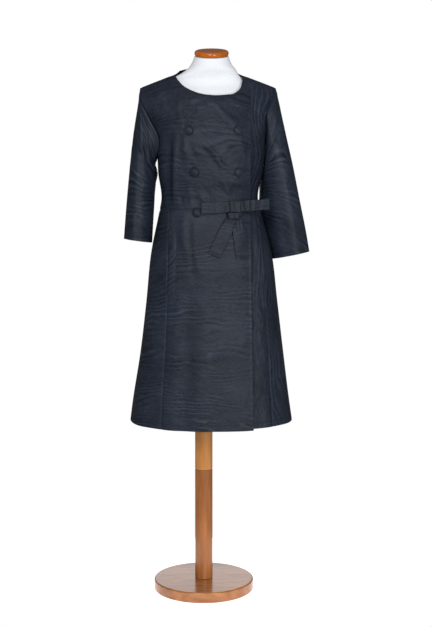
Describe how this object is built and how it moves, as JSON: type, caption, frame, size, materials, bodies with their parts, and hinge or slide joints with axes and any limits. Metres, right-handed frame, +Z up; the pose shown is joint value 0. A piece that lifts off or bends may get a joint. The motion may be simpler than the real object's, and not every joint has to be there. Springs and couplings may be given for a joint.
{
  "type": "double-breasted coat on a limbless dress form with a wooden stand",
  "caption": "Collarless double-breasted knee-length coat in dark watered silk, with a flat bow at the waist, on a limbless dress form with a wooden pole and round base.",
  "frame": {"origin": "centre of the round base's underside, on the pole's axis", "axes": "+Z up along the pole; the coat's front looks along -Y, so the wearer's right side is at -X"},
  "size_m": [0.5288, 0.3217, 1.5378],
  "materials": {
    "watered_silk": "ribbed moire silk with a soft satin sheen",
    "ribbon_silk": "the same ribbed silk cut as a flat band",
    "button_silk": "ribbed silk stretched over a button mould",
    "form_jersey": "matt white jersey cover",
    "ochre_wood": "glossy varnish, lighter stain",
    "red_wood": "glossy varnish, redder stain"
  },
  "bodies": {
    "root": {"bodice_front_right": "watered_silk", "bodice_front_left": "watered_silk", "bodice_back": "watered_silk", "skirt_front_right": "watered_silk", "skirt_side_right": "watered_silk", "skirt_front_left": "watered_silk", "skirt_side_left": "watered_silk", "skirt_back": "watered_silk", "sleeve_right": "watered_silk", "sleeve_left": "watered_silk", "pocket_welt_right": "watered_silk", "button_right_top": "button_silk", "button_left_top": "button_silk", "button_right_middle": "button_silk", "button_left_middle": "button_silk", "button_right_waist": "button_silk", "button_left_waist": "button_silk", "bow_loop_right": "ribbon_silk", "bow_loop_left": "ribbon_silk", "bow_core": "ribbon_silk", "bow_knot": "ribbon_silk", "bow_tack": "ribbon_silk", "bow_tail_right": "ribbon_silk", "bow_tail_left": "ribbon_silk", "form_torso": "form_jersey", "form_neck_cap": "ochre_wood", "stand_pole_upper": "ochre_wood", "stand_pole_lower": "red_wood", "stand_base": "red_wood"}
  },
  "joints": []
}
